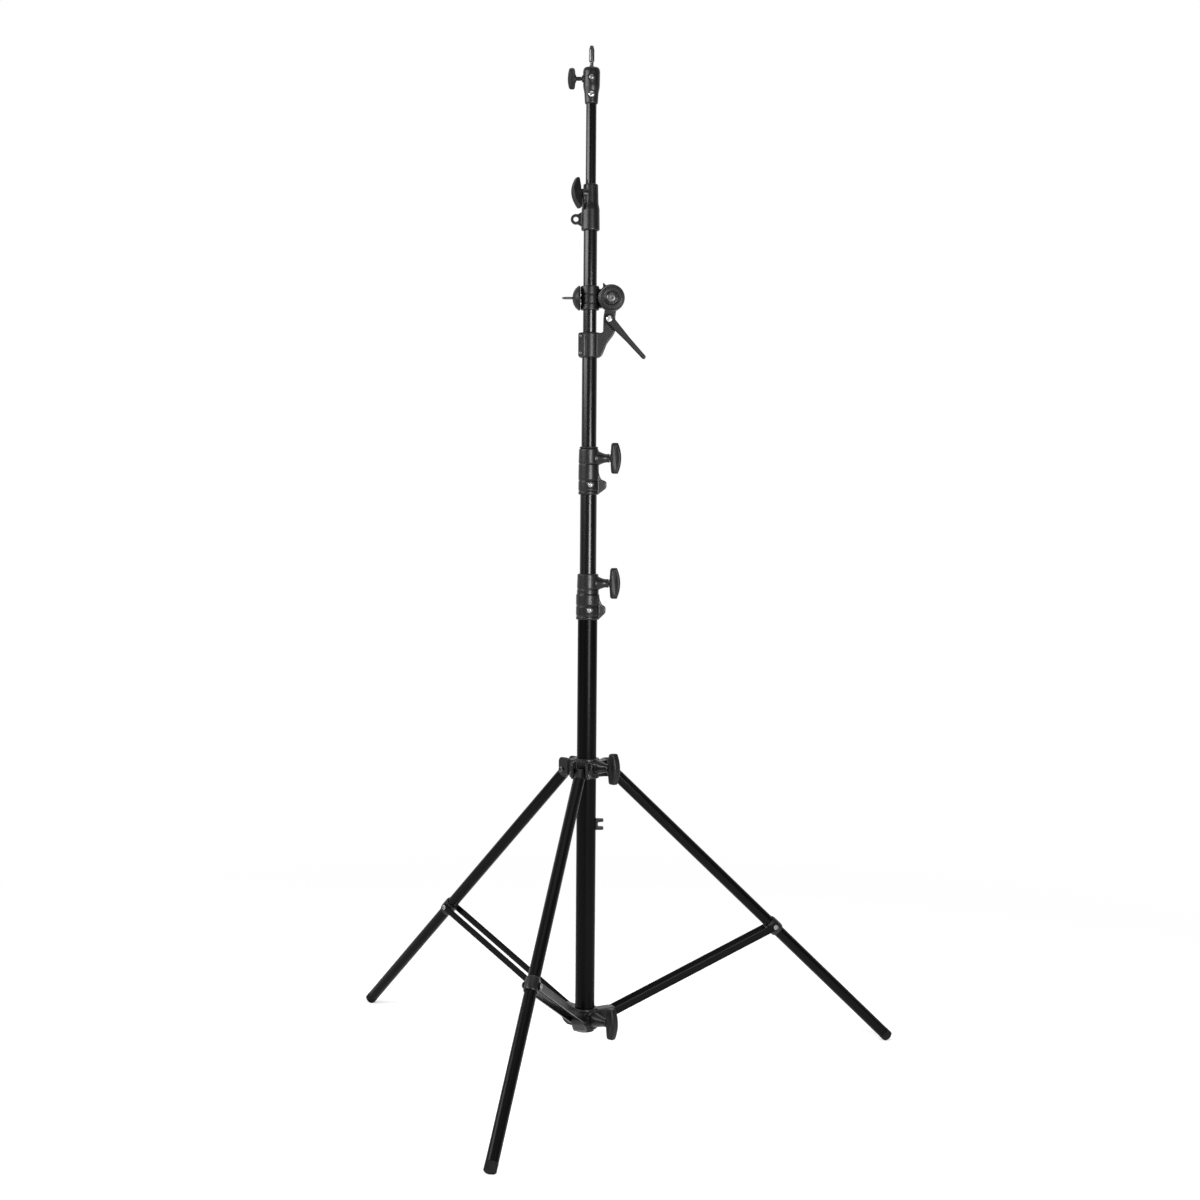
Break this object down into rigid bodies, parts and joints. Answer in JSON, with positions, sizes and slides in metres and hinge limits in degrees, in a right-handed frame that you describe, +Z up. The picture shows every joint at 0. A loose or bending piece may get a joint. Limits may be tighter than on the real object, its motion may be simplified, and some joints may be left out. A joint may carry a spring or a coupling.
{
  "type": "light stand",
  "caption": "Folding tripod light stand with a telescoping mast, clamp collars with T-knobs, a tilting boom swivel at the mast top and a spigot head.",
  "frame": {"origin": "on the mast's axis at floor level", "axes": "+Z up along the mast; +X towards the swivel's disc and the collars' knobs; the swivel's front disc faces -Y"},
  "size_m": [1.0234, 1.0108, 1.819],
  "materials": {
    "tube": "black anodised, satin",
    "casting": "black enamel on a die casting",
    "knob": "black moulded plastic",
    "foot": "black rubber",
    "bright_steel": "plain steel",
    "dark_steel": "blackened steel"
  },
  "bodies": {
    "column": {"column_tube": "tube", "column_end_plug": "knob", "collar_1": "casting", "collar_1_screw": "bright_steel", "lower_spider": "casting", "column_fork_lug": "casting"},
    "collar_1_handle": {"collar_1_knob": "knob"},
    "spider_handle": {"lower_spider_knob": "knob"},
    "hub": {"leg_hub": "casting", "leg_front_pivot_bolt": "dark_steel", "leg_right_pivot_bolt": "dark_steel", "leg_left_pivot_bolt": "dark_steel"},
    "hub_handle": {"leg_hub_knob": "knob"},
    "leg_front": {"leg_front_tube": "tube", "leg_front_cap": "casting", "leg_front_foot": "foot", "leg_front_clip": "casting", "leg_front_brace_bolt": "bright_steel"},
    "leg_right": {"leg_right_tube": "tube", "leg_right_cap": "casting", "leg_right_foot": "foot", "leg_right_clip": "casting", "leg_right_brace_bolt": "bright_steel"},
    "leg_left": {"leg_left_tube": "tube", "leg_left_cap": "casting", "leg_left_foot": "foot", "leg_left_clip": "casting", "leg_left_brace_bolt": "bright_steel"},
    "brace_front": {"brace_front_strip_a": "tube", "brace_front_strip_b": "tube"},
    "brace_right": {"brace_right_strip_a": "tube", "brace_right_strip_b": "tube"},
    "brace_left": {"brace_left_strip_a": "tube", "brace_left_strip_b": "tube"},
    "mast_2": {"section_2_tube": "tube", "collar_2": "casting", "collar_2_screw": "bright_steel"},
    "collar_2_handle": {"collar_2_knob": "knob"},
    "swivel_bush": {"collar_2_bush": "knob"},
    "mast_3": {"section_3_tube": "tube", "boom_bracket": "casting", "bracket_screw_lower": "dark_steel", "bracket_screw_upper": "dark_steel", "tilt_pivot_bolt": "dark_steel", "tilt_lever_screw": "bright_steel"},
    "lever": {"tilt_lever": "knob"},
    "clamp": {"boom_clamp": "casting"},
    "clamp_handle": {"boom_clamp_knob": "knob", "boom_clamp_screw": "bright_steel"},
    "boom": {"boom_tube": "tube", "collar_4": "casting"},
    "collar_4_handle": {"collar_4_knob": "knob"},
    "top_section": {"section_5_tube": "tube", "head_adapter": "casting", "head_screw_lower": "bright_steel", "head_screw_upper": "bright_steel"},
    "head_handle": {"head_knob": "knob"},
    "spigot": {"top_stud": "dark_steel"}
  },
  "joints": [
    {"name": "hub_slide", "type": "slide", "parent": "column", "child": "hub", "axis": [0, 0, 1], "range_m": [-0.07, 0.245]},
    {"name": "leg_front_hinge", "type": "hinge", "parent": "hub", "child": "leg_front", "pos_m": [-0.01133, -0.04664, 0.532], "axis": [0.9717, -0.236, 0], "range_deg": [-7, 22]},
    {"name": "leg_right_hinge", "type": "hinge", "parent": "hub", "child": "leg_right", "pos_m": [0.04606, 0.01351, 0.532], "axis": [-0.2815, 0.9596, 0], "range_deg": [-7, 22]},
    {"name": "leg_left_hinge", "type": "hinge", "parent": "hub", "child": "leg_left", "pos_m": [-0.03473, 0.03313, 0.532], "axis": [-0.6903, -0.7236, 0], "range_deg": [-7, 22]},
    {"name": "brace_front_hinge", "type": "hinge", "parent": "leg_front", "child": "brace_front", "pos_m": [-0.08564, -0.3526, 0.23143], "axis": [0.9717, -0.236, 0], "range_deg": [-56, 17]},
    {"name": "brace_right_hinge", "type": "hinge", "parent": "leg_right", "child": "brace_right", "pos_m": [0.34818, 0.10214, 0.23143], "axis": [-0.2815, 0.9596, 0], "range_deg": [-56, 17]},
    {"name": "brace_left_hinge", "type": "hinge", "parent": "leg_left", "child": "brace_left", "pos_m": [-0.26255, 0.25046, 0.23143], "axis": [-0.6903, -0.7236, 0], "range_deg": [-56, 17]},
    {"name": "collar_1_knob_turn", "type": "hinge", "parent": "column", "child": "collar_1_handle", "pos_m": [0.0389, 0, 0.8697], "axis": [1, 0, 0], "range_deg": [-360, 0]},
    {"name": "collar_2_knob_turn", "type": "hinge", "parent": "mast_2", "child": "collar_2_handle", "pos_m": [0.0389, 0, 1.0928], "axis": [1, 0, 0], "range_deg": [-360, 0]},
    {"name": "hub_knob_turn", "type": "hinge", "parent": "hub", "child": "hub_handle", "pos_m": [0.04197, -0.04003, 0.542], "axis": [0.7236, -0.6903, 0], "range_deg": [-360, 0]},
    {"name": "spider_knob_turn", "type": "hinge", "parent": "column", "child": "spider_handle", "pos_m": [0.04197, -0.04003, 0.0845], "axis": [0.7236, -0.6903, 0], "range_deg": [-360, 0]},
    {"name": "mast_2_slide", "type": "slide", "parent": "column", "child": "mast_2", "axis": [0, 0, 1], "range_m": [-0.138, 0.52]},
    {"name": "mast_pan", "type": "hinge", "parent": "mast_2", "child": "swivel_bush", "pos_m": [0, 0, 1.1], "axis": [0, 0, 1], "continuous": true},
    {"name": "mast_3_slide", "type": "slide", "parent": "swivel_bush", "child": "mast_3", "axis": [0, 0, 1], "range_m": [-0.155, 0.56]},
    {"name": "tilt_lever_turn", "type": "hinge", "parent": "mast_3", "child": "lever", "pos_m": [0.0345, -0.0203, 1.3378], "axis": [0, 1, 0], "range_deg": [-45, 40]},
    {"name": "boom_tilt", "type": "hinge", "parent": "mast_3", "child": "clamp", "pos_m": [0.0379, 0, 1.376], "axis": [0, 1, 0], "range_deg": [0, 120]},
    {"name": "clamp_knob_turn", "type": "hinge", "parent": "clamp", "child": "clamp_handle", "pos_m": [-0.0168, 0, 1.376], "axis": [-1, 0, 0], "range_deg": [-360, 0]},
    {"name": "boom_slide", "type": "slide", "parent": "clamp", "child": "boom", "axis": [0, 0, 1], "range_m": [-0.095, 0.03]},
    {"name": "collar_4_knob_turn", "type": "hinge", "parent": "boom", "child": "collar_4_handle", "pos_m": [-0.0181, -0.00962, 1.5597], "axis": [-0.8829, -0.4695, 0], "range_deg": [-360, 0]},
    {"name": "top_section_slide", "type": "slide", "parent": "boom", "child": "top_section", "axis": [0, 0, 1], "range_m": [-0.138, 0.16]},
    {"name": "head_knob_turn", "type": "hinge", "parent": "top_section", "child": "head_handle", "pos_m": [-0.0285, 0, 1.761], "axis": [-1, 0, 0], "range_deg": [-360, 0]},
    {"name": "spigot_turn", "type": "hinge", "parent": "top_section", "child": "spigot", "pos_m": [0, 0, 1.79], "axis": [0, 0, 1], "continuous": true}
  ],
  "couplings": [
    {"joint": "leg_front_hinge", "follows": "hub_slide", "rad_per_m": 1.517},
    {"joint": "leg_right_hinge", "follows": "hub_slide", "rad_per_m": 1.517},
    {"joint": "leg_left_hinge", "follows": "hub_slide", "rad_per_m": 1.517},
    {"joint": "brace_front_hinge", "follows": "hub_slide", "rad_per_m": -3.9458},
    {"joint": "brace_right_hinge", "follows": "hub_slide", "rad_per_m": -3.9458},
    {"joint": "brace_left_hinge", "follows": "hub_slide", "rad_per_m": -3.9458}
  ]
}
